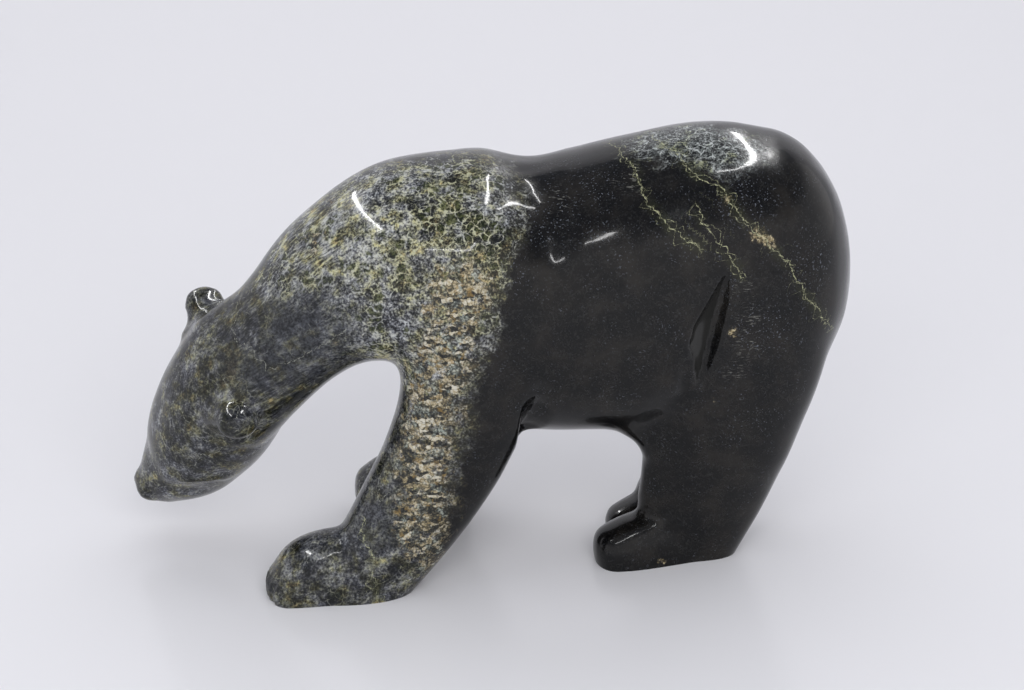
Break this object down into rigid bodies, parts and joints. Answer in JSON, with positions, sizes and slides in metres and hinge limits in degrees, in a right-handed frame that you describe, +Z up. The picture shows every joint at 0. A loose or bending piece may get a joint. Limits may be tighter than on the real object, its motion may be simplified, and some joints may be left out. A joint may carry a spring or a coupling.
{
  "type": "soapstone bear carving",
  "caption": "Walking bear carved from one piece of polished dark green and black stone, head lowered and turned to its right, standing on flat paws.",
  "frame": {"origin": "middle of the outline's box, on the plane of the soles", "axes": "the bear walks toward -X, its left side is toward -Y, +Z is up"},
  "size_m": [0.2842, 0.0958, 0.1767],
  "materials": {
    "stone": "polished dark green-black stone with tan mottling and pale veins"
  },
  "bodies": {
    "root": {"bear": "stone"}
  },
  "joints": []
}
